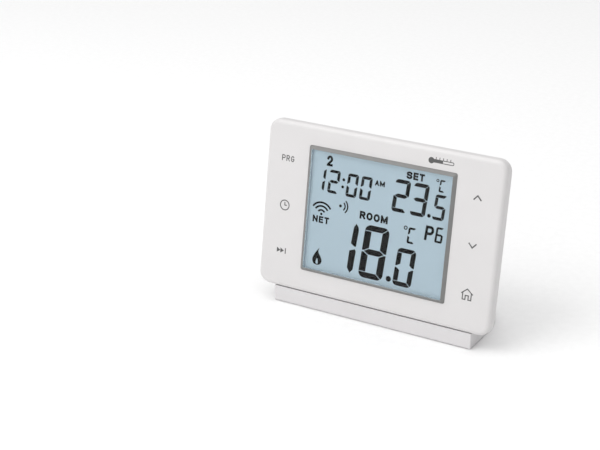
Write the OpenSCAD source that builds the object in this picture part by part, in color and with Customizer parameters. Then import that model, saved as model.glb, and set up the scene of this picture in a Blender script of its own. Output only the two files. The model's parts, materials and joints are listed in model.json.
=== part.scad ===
// Room thermostat with a large display, standing on its desk stand.
// The origin is at the underside centre, +Z is up and the display faces -Y.
// Housing parts are drawn in the face frame: X right, Y up the face, Z into the housing,
// with its origin at the middle of the face's lower edge.

/* [Housing] */
// Width of the housing
body_w = 130; // [116:1:170]
// Height of the housing, measured up its face
body_h = 86.7; // [84:0.1:120]
// Corner radius of the front cover, seen from the front
corner_r = 6; // [5:0.5:9]
// Radius of the rounded edge round the face
edge_r = 2.25; // [1.5:0.25:4]
// Radius of the rim's rear edge
rim_back_r = 0.8; // [0.4:0.1:1]
// Depth of the front cover's rim
rim_d = 6.5; // [6:0.25:9]
// Wall thickness of the moulded covers
wall = 2; // [1.5:0.1:2.6]
// Step from the rim in to the box at the back
box_margin = 6.8; // [5:0.5:8]
// Corner radius of the box at the back
box_corner_r = 5; // [4:0.5:8]
// Radius of the rear edge of the box
box_edge_r = 2.5; // [1:0.25:3]
// Thickness of the rear cover's flange inside the rim
flange_t = 1.6; // [1.2:0.1:2]
// Tilt of the face back from upright, in degrees
tilt = 8.5; // [0:0.5:12]

/* [Display] */
// Width of the key panel on each side of the display frame
side_panel_w = 24.65; // [20:0.05:30]
// Height of the face above the display frame
top_border_h = 9.95; // [8:0.05:20]
// Height of the face below the display frame
bottom_border_h = 11.75; // [10:0.05:20]
// Width of the frame's sloped border
border_w = 1.7; // [1:0.1:3]
// How far the lens stands proud of the face
lens_proud = 1.3; // [0.6:0.1:2]
// Corner radius of the display frame
frame_corner_r = 1; // [0.6:0.1:2]
// Thickness of the lens
lens_t = 1.5; // [1:0.1:2]
// Thickness of the liquid crystal glass
lcd_t = 2; // [1.4:0.1:2.4]
// Thickness of the backlight panel
backlight_t = 2; // [1.4:0.1:2.6]

/* [Keys] */
// Distance of the key centres from the housing's side
key_inset = 12.7; // [10:0.1:16]
// Distance between neighbouring keys, up the face
key_pitch = 24.2; // [18:0.1:28]
// Radius of a touch spring
touch_spring_r = 3.2; // [2.5:0.1:3.3]

/* [Battery] */
// Diameter of a battery cell
cell_d = 14.5; // [10.5:0.1:17.5]
// Length of a battery cell with its pip
cell_l = 50.5; // [44:0.1:61]
// Thickness of the battery door
door_t = 1.8; // [1.4:0.1:2.4]
// How far the battery door slides down to open
door_travel = 7; // [5:0.5:8]

/* [Fasteners] */
// Thread radius of a case screw
case_screw_r = 1.2; // [1:0.05:1.5]
// Distance between the two keyholes for the wall screws
keyhole_pitch = 60; // [50:1:66]
// Radius of a keyhole's round entry
keyhole_r = 4.2; // [3.8:0.1:4.6]
// Radius of the wall screw's shank slot
keyhole_slot_r = 2.2; // [1.8:0.1:2.4]
// How far the wall screw moves up the keyhole
keyhole_rise = 7; // [5:0.5:9]

/* [Stand] */
// Width of the stand
stand_w = 111; // [100:1:130]
// Depth of the stand from front to back
stand_d = 54; // [48:1:80]
// Radius of the stand's two rear corners, seen from above
stand_rear_r = 30; // [14:1:32]
// Wall thickness of the stand
stand_wall = 2.2; // [1.8:0.1:3]
// Height of the housing's lower front edge above the table
edge_height = 9.1; // [8:0.1:14]
// How far the housing's front edge overhangs the stand
overhang = 1.1; // [0.5:0.1:3]
// How far the housing lifts to come off the hooks
lift_travel = 6; // [4:0.5:7]
// Height of the two arms, measured up the back of the housing
arm_h = 30; // [27:0.5:34]
// Width of one arm
arm_w = 14; // [10:0.5:16]
// How far a foot stands out under the stand
foot_proud = 0.5; // [0.4:0.1:1]

/* [Clearances] */
// Gap between pieces that rest in one another
fit_gap = 0.1; // [0.05:0.01:0.2]
// Gap between pieces that slide past each other
slide_gap = 0.3; // [0.2:0.05:0.5]
// Gap between pieces that touch, such as a chip and its board
seat_gap = 0.05; // [0.02:0.01:0.1]

/* [Hidden] */
$fn = 64;

// Display opening and lens
frame_w = body_w - 2 * side_panel_w;
frame_h = body_h - top_border_h - bottom_border_h;
frame_y = bottom_border_h + frame_h / 2;
lens_w = frame_w - 2 * border_w;
lens_h = frame_h - 2 * border_w;
lens_flange = 1;
lens_flange_t = 0.8;
glass_w = lens_w + 2 * lens_flange;
glass_h = lens_h + 2 * lens_flange;

// Depths of the layers, from the face inwards
lens_back = lens_t - lens_proud + lens_flange_t;
lcd_z = lens_back + fit_gap;
backlight_z = lcd_z + lcd_t + fit_gap;
holder_wall = 1.2;
holder_floor_t = 0.6;
holder_floor_z = backlight_z + backlight_t + fit_gap;
pcb_z = holder_floor_z + holder_floor_t + slide_gap;
pcb_t = 1.6;
pcb_back = pcb_z + pcb_t;
cell_gap = 0.3;
pocket_floor_t = 1;
pocket_floor_z = pcb_back + 0.4;
cell_z = pocket_floor_z + pocket_floor_t + cell_gap + cell_d / 2;
door_z = cell_z + cell_d / 2 + 0.2;
body_t = door_z + door_t;
rear_wall_z = body_t - wall;

// Box at the back, in the face frame
box_w = body_w - 2 * box_margin;
box_h = body_h - 2 * box_margin;
box_y0 = box_margin;
box_y1 = body_h - box_margin;
flange_z = rim_d - flange_t;
inner_w = box_w - 2 * wall;
inner_y0 = box_y0 + wall;
inner_y1 = box_y1 - wall;

// Key places
key_x = body_w / 2 - key_inset;
key_mid_y = frame_y - 0.8;
KEY_ROWS = [-1, 0, 1];
SIDES = [-1, 1];

// Battery pocket and door
pocket_wall = 1.2;
contact_t = 0.4;
spring_l = 4;
pip_l = 1.3;
pip_r = 2.75;
pocket_l = cell_l + spring_l + 2 * contact_t + 0.7;
cell_pitch = cell_d + 0.9;
pocket_h = cell_pitch + cell_d + 2 * cell_gap;
door_border = 4.5;
door_y0 = box_y0 + door_travel + 2;
door_h = pocket_h + 2 * door_border;
door_y1 = door_y0 + door_h;
door_w = pocket_l + 2;
pocket_y0 = door_y0 + door_border;
cell_y = [pocket_y0 + cell_gap + cell_d / 2, pocket_y0 + cell_gap + cell_d / 2 + cell_pitch];
door_pad_t = 1.2;
door_ledge_z = door_z - 0.1;
tab_l = 6;
tab_t = 0.8;
tab_out = 1.2;
TAB_Y = [door_y0 + door_travel + 3, door_y1 - 6 - tab_l];

// Case screws and their columns
case_inset = 5.5;
case_x = box_w / 2 - case_inset;
CASE_Y = [box_y0 + case_inset, box_y1 - case_inset];
post_r = 3;
post_end = pcb_back + 0.8;
column_r = case_inset - wall + 0.7;
column_z = post_end + 0.2;
seat_z = column_z + 2.4;
head_r = 2.5;
head_t = 1.8;
head_gap = 0.3;

// Board and its own screws
pcb_gap = 0.3;
pcb_w = inner_w - 2 * pcb_gap;
pcb_y0 = inner_y0 + pcb_gap;
pcb_y1 = inner_y1 - pcb_gap;
pcb_notch = case_inset + post_r + 0.4 - wall - pcb_gap;
pcb_screw_r = 0.9;
pcb_post_r = 2.2;
pcb_screw_x = key_x - 6;
PCB_SCREW_Y = [key_mid_y - key_pitch / 2, key_mid_y + key_pitch / 2];

// Display holder: the zebra strip's space, the lamps' space and the pegs that seat it on the board
strip_h = 4.2;
lamp_w = 2.6;
peg_inset = 4;
peg_r = 0.8;
PEG_X = [-(glass_w / 2 - peg_inset), glass_w / 2 - peg_inset];
PEG_Y = [frame_y - glass_h / 2 + strip_h + peg_inset, frame_y + glass_h / 2 - peg_inset];

// Parts on the board's back: their seat, the row above the battery pocket and the radio's place
part_z = pcb_back + seat_gap;
top_row_y = inner_y1 - 10;
radio_x = inner_w / 2 - 29;

// Keyholes for the wall screws
keyhole_y = box_y1 - 9 - keyhole_rise;

// Hooks and arms of the stand
back_gap = 0.4;
arm_t = 2.4;
arm_x = door_w / 2 + 3 + arm_w / 2;
arm_front = body_t + back_gap;
arm_back = arm_front + arm_t;
hook_w = 6;
hook_y = 20;
hook_neck_h = 2.4;
hook_h = 6;
hook_t = 2;
hook_z = rear_wall_z - back_gap - hook_t;
hook_slot_y0 = hook_y - lift_travel - 0.4;
hook_slot_y1 = hook_y + hook_neck_h + slide_gap;

// Socket for the power plug
usb_w = 8.94;
usb_t = 3.2;
usb_l = 8.9;
usb_y = inner_y0 + 18;
usb_shell_t = 0.3;

// Place of the housing on the stand
edge_y = -(edge_r * (cos(tilt) + sin(tilt) - 1) + overhang + stand_d) / 2;
front_y = edge_y + overhang;
rear_y = front_y + stand_d;
function table_y(up, depth) = edge_y + depth * cos(tilt) + up * sin(tilt);
function table_z(up, depth) = edge_height - depth * sin(tilt) + up * cos(tilt);

// The stand's seat, step, cradle, wedge and heel, as heights and depths in the face frame
seat_up = -slide_gap;
seat_front_depth = (front_y - edge_y - seat_up * sin(tilt)) / cos(tilt);
step_depth = rim_d + 0.6;
cradle_up = box_y0 - slide_gap - 0.2;
wedge_up = 12;
heel_h = 4;

// Feet under the stand, the rear pair set in from its round corners
foot_r = 4;
foot_inset = 8;
foot_wall = 1.6;
foot_recess = 0.6;
front_foot_x = stand_w / 2 - foot_inset;
rear_foot_x = min(front_foot_x, stand_w / 2 - 0.85 * stand_rear_r);
FEET = [[front_foot_x, front_y + foot_inset], [rear_foot_x, rear_y - foot_inset]];

// Puts what is drawn in the face frame where the housing stands
module in_housing() {
    translate([0, edge_y, edge_height])
        rotate([-tilt, 0, 0])
            mirror([0, 1, 0])
                rotate([90, 0, 0])
                    children();
}

// Rectangle with round corners, centred
module rounded_rect(w, h, r) {
    square([w - 2 * r, h], center = true);
    square([w, h - 2 * r], center = true);
    for (x = SIDES, y = SIDES)
        translate([x * (w / 2 - r), y * (h / 2 - r)])
            circle(r);
}

// Plate with round corners whose lower left corner is at x, y
module rounded_plate(x, y, w, h, r, t) {
    translate([x + w / 2, y + h / 2, 0])
        linear_extrude(t)
            rounded_rect(w, h, r);
}

// Half of an edge section: half_w wide, d deep, rounded at the front and at the back
module half_section(half_w, d, front_r, back_r) {
    middle = (d + front_r - back_r) / 2;
    translate([0, front_r])
        square([half_w, d - front_r - back_r]);
    square([half_w - front_r, middle]);
    translate([0, middle])
        square([half_w - back_r, d - middle]);
    if (front_r > 0)
        translate([half_w - front_r, front_r])
            quarter_disc(front_r, -90);
    if (back_r > 0)
        translate([half_w - back_r, d - back_r])
            quarter_disc(back_r, 0);
}

// Quarter of a disc, turned from its place in the first quadrant
module quarter_disc(r, turn) {
    rotate(turn)
        intersection() {
            circle(r);
            square(r);
        }
}

// Block with round corners and rounded front and back edges, its middle on the axis
module soft_block(w, h, r, d, front_r, back_r) {
    for (x = SIDES, y = SIDES)
        translate([x * (w / 2 - r), y * (h / 2 - r), 0])
            rotate_extrude()
                half_section(r, d, front_r, back_r);
    for (turn = [0, 180]) {
        rotate([90, 0, turn])
            linear_extrude(h - 2 * r, center = true)
                half_section(w / 2, d, front_r, back_r);
        rotate([90, 0, turn + 90])
            linear_extrude(w - 2 * r, center = true)
                half_section(h / 2, d, front_r, back_r);
    }
}

// Hole or post: a cylinder at x, y from depth z0 to z1
module rod(x, y, z0, z1, r) {
    translate([x, y, z0])
        cylinder(h = z1 - z0, r = r);
}

// Box between two corners
module block(low, high) {
    translate(low)
        cube(high - low);
}

// Coil of round wire, drawn as closed turns joined by two straight runs
module coil(turns, pitch, wire_r, first_r, last_r) {
    for (i = [0:turns - 1]) {
        turn_r = first_r + (last_r - first_r) * i / (turns - 1);
        translate([0, 0, wire_r + i * pitch])
            rotate_extrude()
                translate([turn_r, 0])
                    circle(wire_r);
    }
    step = (last_r - first_r) / (turns - 1);
    lean = atan2(step, pitch);
    for (side = SIDES)
        translate([side * first_r, 0, wire_r])
            rotate([0, side * lean, 0])
                cylinder(h = (turns - 1) * pitch / cos(lean), r = wire_r * 0.8);
}

module front_cover() {
    color("whitesmoke") in_housing() difference() {
        union() {
            difference() {
                translate([0, body_h / 2, 0])
                    soft_block(body_w, body_h, corner_r, rim_d, edge_r, rim_back_r);
                translate([0, body_h / 2, wall])
                    soft_block(body_w - 2 * wall, body_h - 2 * wall, corner_r - wall,
                        rim_d, max(edge_r - wall, 0.5), 0);
            }
            for (x = SIDES, y = CASE_Y)
                rod(x * case_x, y, wall / 2, post_end, post_r);
            for (x = SIDES, y = PCB_SCREW_Y)
                rod(x * pcb_screw_x, y, wall / 2, pcb_z, pcb_post_r);
        }
        translate([0, 0, -wall])
            rounded_plate(-frame_w / 2 - fit_gap, frame_y - frame_h / 2 - fit_gap,
                frame_w + 2 * fit_gap, frame_h + 2 * fit_gap, frame_corner_r + fit_gap, 4 * wall);
        for (x = SIDES, y = CASE_Y)
            rod(x * case_x, y, wall + 0.5, post_end + 1, case_screw_r + seat_gap);
        for (x = SIDES, y = PCB_SCREW_Y)
            rod(x * pcb_screw_x, y, wall, pcb_z + 1, pcb_screw_r + seat_gap);
    }
}

module display_frame() {
    lip = 1.9;
    edge_t = 0.15;
    tip_r = 0.6;
    sheet = 0.01;
    ring_back = lcd_z + lcd_t;
    color("gray") in_housing() difference() {
        union() {
            hull() {
                rounded_plate(-frame_w / 2, frame_y - frame_h / 2, frame_w, frame_h,
                    frame_corner_r, sheet);
                translate([0, 0, -lens_proud])
                    rounded_plate(-lens_w / 2 - edge_t, frame_y - lens_h / 2 - edge_t,
                        lens_w + 2 * edge_t, lens_h + 2 * edge_t, tip_r, sheet);
            }
            rounded_plate(-frame_w / 2, frame_y - frame_h / 2, frame_w, frame_h,
                frame_corner_r, ring_back);
            translate([0, 0, wall + seat_gap])
                rounded_plate(-frame_w / 2 - lip, frame_y - frame_h / 2 - lip,
                    frame_w + 2 * lip, frame_h + 2 * lip, frame_corner_r, ring_back - wall - seat_gap);
        }
        block([-lens_w / 2, frame_y - lens_h / 2, -lens_proud - 1],
            [lens_w / 2, frame_y + lens_h / 2, ring_back + 1]);
        block([-glass_w / 2 - fit_gap, frame_y - glass_h / 2 - fit_gap, lens_t - lens_proud],
            [glass_w / 2 + fit_gap, frame_y + glass_h / 2 + fit_gap, ring_back + 1]);
    }
}

module display_lens() {
    gap = fit_gap / 2;
    color("lightcyan") in_housing() {
        block([-lens_w / 2 + gap, frame_y - lens_h / 2 + gap, -lens_proud],
            [lens_w / 2 - gap, frame_y + lens_h / 2 - gap, lens_t - lens_proud]);
        block([-glass_w / 2, frame_y - glass_h / 2, lens_t - lens_proud],
            [glass_w / 2, frame_y + glass_h / 2, lens_back]);
    }
}

module lcd_glass() {
    ledge = 3.4;
    color("lightsteelblue") in_housing() {
        block([-glass_w / 2, frame_y - glass_h / 2, lcd_z],
            [glass_w / 2, frame_y + glass_h / 2, lcd_z + lcd_t / 2]);
        block([-glass_w / 2, frame_y - glass_h / 2 + ledge, lcd_z + lcd_t / 2],
            [glass_w / 2, frame_y + glass_h / 2, lcd_z + lcd_t]);
    }
}

module backlight_panel() {
    color("aliceblue") in_housing()
        block([-glass_w / 2 + lamp_w, frame_y - glass_h / 2 + strip_h, backlight_z],
            [glass_w / 2, frame_y + glass_h / 2, backlight_z + backlight_t]);
}

module backlight_leds() {
    lamp_pitch = 12;
    color("khaki") in_housing() {
        block([-glass_w / 2, frame_y - 20, backlight_z + 0.1],
            [-glass_w / 2 + 0.5, frame_y + 20, backlight_z + backlight_t]);
        for (i = [-1:1])
            block([-glass_w / 2 + 0.5, frame_y + i * lamp_pitch - 1.6, backlight_z + 0.3],
                [-glass_w / 2 + lamp_w - 0.2, frame_y + i * lamp_pitch + 1.6,
                    backlight_z + backlight_t - 0.2]);
    }
}

module lcd_holder() {
    holder_w = glass_w + 2 * holder_wall + 2 * fit_gap;
    holder_h = glass_h + 2 * holder_wall + 2 * fit_gap;
    holder_z = lcd_z + lcd_t + seat_gap;
    color("white") in_housing() {
        difference() {
            block([-holder_w / 2, frame_y - holder_h / 2, holder_z],
                [holder_w / 2, frame_y + holder_h / 2, holder_floor_z + holder_floor_t]);
            block([-glass_w / 2 - fit_gap, frame_y - glass_h / 2 - fit_gap, holder_z - 1],
                [glass_w / 2 + fit_gap, frame_y + glass_h / 2 + fit_gap, holder_floor_z]);
            block([-glass_w / 2 + 2, frame_y - glass_h / 2, holder_floor_z - 1],
                [glass_w / 2 - 2, frame_y - glass_h / 2 + strip_h - 0.4,
                    holder_floor_z + holder_floor_t + 1]);
        }
        for (x = PEG_X, y = PEG_Y)
            rod(x, y, holder_floor_z + holder_floor_t / 2, pcb_back - 0.1, peg_r);
    }
}

module zebra_connector() {
    color("dimgray") in_housing()
        block([-glass_w / 2 + 3, frame_y - glass_h / 2 + 0.7, lcd_z + lcd_t / 2 + seat_gap],
            [glass_w / 2 - 3, frame_y - glass_h / 2 + 2.9, pcb_z - seat_gap]);
}

module main_pcb() {
    color("seagreen") in_housing() difference() {
        block([-pcb_w / 2, pcb_y0, pcb_z], [pcb_w / 2, pcb_y1, pcb_back]);
        for (x = SIDES, y = [pcb_y0, pcb_y1])
            translate([x * pcb_w / 2, y, pcb_z + pcb_t / 2])
                cube([2 * pcb_notch, 2 * pcb_notch, 2 * pcb_t], center = true);
        for (x = SIDES, y = PCB_SCREW_Y)
            rod(x * pcb_screw_x, y, pcb_z - 1, pcb_back + 1, pcb_screw_r + 0.2);
        for (x = PEG_X, y = PEG_Y)
            rod(x, y, pcb_z - 1, pcb_back + 1, peg_r + 0.1);
    }
}

// Flat package with a row of legs on each side, seated on the board's back
module flat_package(x, y, side, body_z) {
    legs = 8;
    leg_pitch = (side - 1.2) / (legs - 1);
    translate([x, y, pcb_back]) {
        block([-side / 2, -side / 2, 0.1], [side / 2, side / 2, body_z]);
        for (turn = [0:90:270], i = [0:legs - 1])
            rotate([0, 0, turn])
                translate([-side / 2 + 0.6 + i * leg_pitch, 0, 0])
                    block([-0.15, side / 2 - 0.2, seat_gap], [0.15, side / 2 + 0.9, 0.35]);
    }
}

module microcontroller() {
    color("darkslategray") in_housing()
        flat_package(0, top_row_y, 10, 1.5);
}

module lcd_driver() {
    color("darkslategray") in_housing()
        flat_package(-17, top_row_y, 7, 1.5);
}

module crystal() {
    color("silver") in_housing()
        translate([9.5, top_row_y, part_z])
            rounded_plate(-1.9, -5, 3.8, 10, 1.8, 3);
}

module wifi_module() {
    x0 = -inner_w / 2 + 12;
    y0 = top_row_y - 8;
    color("steelblue") in_housing() {
        block([x0, y0, part_z], [x0 + 17, y0 + 15, pcb_back + 0.85]);
        block([x0 + 0.6, y0 + 0.6, pcb_back + 0.8], [x0 + 12, y0 + 14.4, pcb_back + 3]);
        for (i = [0:3])
            block([x0 + 13 + i * 0.9, y0 + 2, pcb_back + 0.8],
                [x0 + 13.4 + i * 0.9, y0 + 13, pcb_back + 0.95]);
    }
}

module radio_module() {
    y0 = top_row_y - 6;
    color("darkgreen") in_housing() {
        block([radio_x, y0, part_z], [radio_x + 14, y0 + 12, pcb_back + 0.85]);
        block([radio_x + 3, y0 + 3, pcb_back + 0.8], [radio_x + 8, y0 + 8, pcb_back + 1.7]);
    }
}

module radio_antenna() {
    color("peru") in_housing()
        translate([radio_x + 16.5, top_row_y - 9, pcb_back + 3]) {
            rotate([-90, 0, 0])
                coil(12, 1.1, 0.4, 2, 2);
            rod(-2, 0.4, -2.9, 0, 0.35);
        }
}

module capacitors() {
    color("darkslateblue") in_housing()
        for (side = SIDES)
            translate([inner_w / 2 - 8, key_mid_y + side * 4, pcb_back + 0.1]) {
                cylinder(h = 0.9, r = 3.3);
                cylinder(h = 5.8, r = 3.1);
            }
}

module voltage_regulator() {
    x = inner_w / 2 - 17;
    body_l = 6.5;
    leg_pitch = 2.3;
    color("darkslategray") in_housing() {
        block([x, key_mid_y - body_l / 2, pcb_back + 0.1], [x + 3.5, key_mid_y + body_l / 2, pcb_back + 1.7]);
        block([x - 1.6, key_mid_y - 1.55, part_z], [x + 0.2, key_mid_y + 1.55, pcb_back + 0.3]);
        for (i = [-1:1])
            block([x + 3.3, key_mid_y - 0.35 + i * leg_pitch, part_z],
                [x + 5.1, key_mid_y + 0.35 + i * leg_pitch, pcb_back + 0.3]);
    }
}

// Outline of the socket, drawn across its width and thickness
module socket_outline(w, t) {
    rounded_rect(w, t, t / 2 - 0.05);
}

module usb_socket() {
    color("silver") in_housing()
        translate([box_w / 2 - 0.2, usb_y, part_z + usb_t / 2])
            rotate([90, 0, -90]) {
                difference() {
                    linear_extrude(usb_l)
                        socket_outline(usb_w, usb_t);
                    translate([0, 0, -1])
                        linear_extrude(usb_l - 0.5)
                            socket_outline(usb_w - 2 * usb_shell_t, usb_t - 2 * usb_shell_t);
                }
                block([-3.3, -0.35, 0.6], [3.3, 0.35, usb_l - 0.2]);
            }
}

module room_sensor() {
    x = -inner_w / 2 + 14;
    y = inner_y0 + 5;
    bead_z = pcb_back + 8;
    color("saddlebrown") in_housing() {
        translate([x, y, bead_z])
            sphere(1.4);
        for (side = SIDES)
            rod(x + side * 0.6, y, part_z, bead_z, 0.25);
    }
}

module touch_springs() {
    turns = 4;
    wire_r = 0.35;
    length = pcb_z - wall - 2 * seat_gap;
    color("goldenrod") in_housing()
        for (x = SIDES, row = KEY_ROWS)
            translate([x * key_x, key_mid_y + row * key_pitch, wall + seat_gap])
                coil(turns, (length - 2 * wire_r) / (turns - 1), wire_r, touch_spring_r, 2.2);
}

// Pan head screw that points to the face, with its head's seat at depth z
module case_screw(x, y, z, r, length, pan_r, pan_t) {
    difference() {
        union() {
            rod(x, y, z - length, z, r);
            rod(x, y, z, z + pan_t, pan_r);
        }
        for (turn = [0, 90])
            translate([x, y, z + pan_t])
                rotate([0, 0, turn])
                    cube([1.3 * pan_r, 0.22 * pan_r, pan_t], center = true);
    }
}

module pcb_screws() {
    color("lightslategray") in_housing()
        for (x = SIDES, y = PCB_SCREW_Y)
            case_screw(x * pcb_screw_x, y, part_z, pcb_screw_r, pcb_back - wall - 0.6, 1.9, 1.2);
}

module case_screws() {
    color("lightslategray") in_housing()
        for (x = SIDES, y = CASE_Y)
            case_screw(x * case_x, y, seat_z + seat_gap, case_screw_r, seat_z - wall - 1.2, head_r, head_t);
}

// Battery pocket as it stands inside the rear cover
module pocket_block(grow, z0, z1) {
    block([-pocket_l / 2 - grow, pocket_y0 - grow, z0],
        [pocket_l / 2 + grow, pocket_y0 + pocket_h + grow, z1]);
}

// Rows of air slots through the box's lower and upper walls
module air_slots() {
    slot_count = 12;
    slot_pitch = 4;
    slot_l = 8;
    for (i = [0:slot_count - 1], y = [box_y0, box_y1])
        translate([(i - (slot_count - 1) / 2) * slot_pitch, y, (rim_d + body_t) / 2])
            cube([1.4, 4 * wall, slot_l], center = true);
}

// Recess for the door, with its tab grooves and their lift-out notches
module door_recess() {
    gap = slide_gap / 2;
    groove_x = door_w / 2 + tab_out + slide_gap;
    translate([0, 0, door_ledge_z])
        rounded_plate(-door_w / 2 - gap, door_y0 - door_travel - slide_gap,
            door_w + 2 * gap, door_h + door_travel + 2 * slide_gap, 1.5, door_t + 1);
    for (y = TAB_Y) {
        block([-groove_x, y - door_travel - slide_gap, door_ledge_z],
            [groove_x, y + tab_l + slide_gap, door_z + 0.3 + tab_t + 0.2]);
        block([-groove_x, y - door_travel - slide_gap, door_ledge_z],
            [groove_x, y - door_travel + tab_l + slide_gap, body_t + 1]);
    }
}

module keyhole(x) {
    rod(x, keyhole_y, rear_wall_z - 1, body_t + 1, keyhole_r);
    rod(x, keyhole_y + keyhole_rise, rear_wall_z - 1, body_t + 1, keyhole_slot_r);
    block([x - keyhole_slot_r, keyhole_y, rear_wall_z - 1],
        [x + keyhole_slot_r, keyhole_y + keyhole_rise, body_t + 1]);
}

module rear_cover() {
    flange_gap = wall + 0.15;
    pad = 2.5;
    tail_y = 1.8;
    color("white") in_housing() difference() {
        union() {
            difference() {
                union() {
                    translate([0, body_h / 2, flange_z])
                        linear_extrude(flange_t)
                            rounded_rect(body_w - 2 * flange_gap, body_h - 2 * flange_gap,
                                corner_r - flange_gap);
                    translate([0, body_h / 2, flange_z])
                        soft_block(box_w, box_h, box_corner_r, body_t - flange_z, 0, box_edge_r);
                }
                translate([0, body_h / 2, flange_z - 1])
                    soft_block(box_w - 2 * wall, box_h - 2 * wall, box_corner_r - wall,
                        rear_wall_z - flange_z + 1, 0, max(box_edge_r - wall, 0.5));
            }
            block([-door_w / 2 - pad, door_y0 - door_travel - 1, door_ledge_z - door_pad_t],
                [door_w / 2 + pad, door_y1 + pad, rear_wall_z + 0.5]);
            pocket_block(pocket_wall, pocket_floor_z, door_ledge_z - 0.1);
            for (x = SIDES, y = CASE_Y)
                rod(x * case_x, y, column_z, rear_wall_z + 0.5, column_r);
        }
        pocket_block(0, pocket_floor_z + pocket_floor_t, door_ledge_z + 1);
        door_recess();
        air_slots();
        for (side = SIDES) {
            keyhole(side * keyhole_pitch / 2);
            block([side * arm_x - hook_w / 2 - 0.4, hook_slot_y0, rear_wall_z - 1],
                [side * arm_x + hook_w / 2 + 0.4, hook_slot_y1, body_t + 1]);
        }
        for (x = SIDES, y = CASE_Y) {
            rod(x * case_x, y, column_z - 1, body_t + 1, case_screw_r + 0.25);
            rod(x * case_x, y, seat_z, body_t + 1, head_r + head_gap);
        }
        translate([box_w / 2, usb_y, part_z + usb_t / 2])
            rotate([90, 0, 90])
                linear_extrude(6 * wall, center = true)
                    socket_outline(usb_w + 0.6, usb_t + 0.6);
        for (y = cell_y)
            block([pocket_l / 2 - 1, y - tail_y, cell_z + 2], [pocket_l / 2 + 3, y + tail_y, cell_z + 3.2]);
    }
}

// Flat contact against one end of the pocket, behind the cell at height y
module contact_plate(side, y) {
    half = cell_d / 2 - 1.6;
    inner = pocket_l / 2 - contact_t - seat_gap;
    outer = pocket_l / 2 - seat_gap;
    block([min(side * inner, side * outer), y - half, cell_z - half],
        [max(side * inner, side * outer), y + half, cell_z + half]);
}

// Conical spring that presses a cell's flat end
module contact_spring(side, y) {
    turns = 4;
    wire_r = 0.35;
    inner = pocket_l / 2 - contact_t - seat_gap;
    translate([side * (inner + wire_r / 2), y, cell_z])
        rotate([0, -side * 90, 0])
            coil(turns, (spring_l - 0.2 - 2 * wire_r) / (turns - 1), wire_r, 4, 2.6);
}

// Tail that takes a contact out through the pocket's end wall
module contact_tail(y) {
    block([pocket_l / 2 - contact_t - seat_gap, y - 1.5, cell_z + 2.2],
        [pocket_l / 2 + pocket_wall + 2.2, y + 1.5, cell_z + 2.6]);
}

module contact_bridge() {
    half = cell_d / 2 - 1.6;
    inner = pocket_l / 2 - contact_t - seat_gap;
    color("silver") in_housing() {
        block([-inner - contact_t, cell_y[0] - half, cell_z - half],
            [-inner, cell_y[1] + half, cell_z + half]);
        contact_spring(-1, cell_y[0]);
        translate([-inner, cell_y[1], cell_z])
            rotate([0, 90, 0])
                cylinder(h = 0.35, r = 2);
    }
}

module contact_positive() {
    inner = pocket_l / 2 - contact_t - seat_gap;
    color("silver") in_housing() {
        contact_plate(1, cell_y[0]);
        contact_tail(cell_y[0]);
        translate([inner - 0.35, cell_y[0], cell_z])
            rotate([0, 90, 0])
                cylinder(h = 0.4, r = 2);
    }
}

module contact_negative() {
    color("silver") in_housing() {
        contact_plate(1, cell_y[1]);
        contact_spring(1, cell_y[1]);
        contact_tail(cell_y[1]);
    }
}

// Insulated wire from a contact's tail down to the board
module lead(y, step) {
    wire_r = 0.6;
    x = pocket_l / 2 + pocket_wall + 1.4;
    top = cell_z + 2.2 - wire_r - seat_gap;
    low = pcb_back + 0.1;
    bend = (top + low) / 2;
    rod(x, y, bend, top, wire_r);
    translate([x, y, bend])
        sphere(wire_r);
    translate([x, y, bend])
        rotate([-90, 0, 0])
            cylinder(h = step, r = wire_r);
    translate([x, y + step, bend])
        sphere(wire_r);
    rod(x, y + step, low, bend, wire_r);
}

module lead_positive() {
    color("firebrick") in_housing()
        lead(cell_y[0], 4);
}

module lead_negative() {
    color("black") in_housing()
        lead(cell_y[1], 4);
}

// Cell with its pip towards the given side
module cell(side, y) {
    spring_end = pocket_l / 2 - contact_t - spring_l - 0.1;
    can_l = cell_l - pip_l;
    translate([-side * spring_end, y, cell_z])
        rotate([0, side * 90, 0]) {
            cylinder(h = 0.6, r = cell_d / 2 - 0.6);
            translate([0, 0, 0.3])
                cylinder(h = can_l - 0.6, r = cell_d / 2);
            cylinder(h = can_l, r = cell_d / 2 - 0.8);
            cylinder(h = cell_l, r = pip_r);
        }
}

module battery_lower() {
    color("darkgoldenrod") in_housing()
        cell(1, cell_y[0]);
}

module battery_upper() {
    color("darkgoldenrod") in_housing()
        cell(-1, cell_y[1]);
}

module battery_door() {
    grip_count = 5;
    grip_pitch = 2.2;
    door_gap = slide_gap / 2;
    color("whitesmoke") in_housing() difference() {
        union() {
            translate([0, 0, door_z])
                rounded_plate(-door_w / 2 + door_gap, door_y0, door_w - 2 * door_gap, door_h,
                    1.2, door_t);
            for (y = TAB_Y)
                block([-door_w / 2 - tab_out, y, door_z + 0.3],
                    [door_w / 2 + tab_out, y + tab_l, door_z + 0.3 + tab_t]);
        }
        for (i = [0:grip_count - 1])
            block([-10, door_y1 - 5 - i * grip_pitch, body_t - 0.5],
                [10, door_y1 - 4 - i * grip_pitch, body_t + 1]);
    }
}

// Point of the stand's side section, from its place in the face frame
function on_table(up, depth) = [table_y(up, depth), table_z(up, depth)];

// The stand's side section, from the front face round to the rear
module stand_side() {
    polygon([
        [front_y, foot_proud],
        [front_y, table_z(seat_up, seat_front_depth)],
        on_table(seat_up, step_depth),
        on_table(cradle_up, step_depth),
        on_table(cradle_up, arm_front),
        on_table(wedge_up, arm_front),
        on_table(wedge_up, arm_back),
        [rear_y, foot_proud + heel_h],
        [rear_y, foot_proud]
    ]);
}

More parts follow.
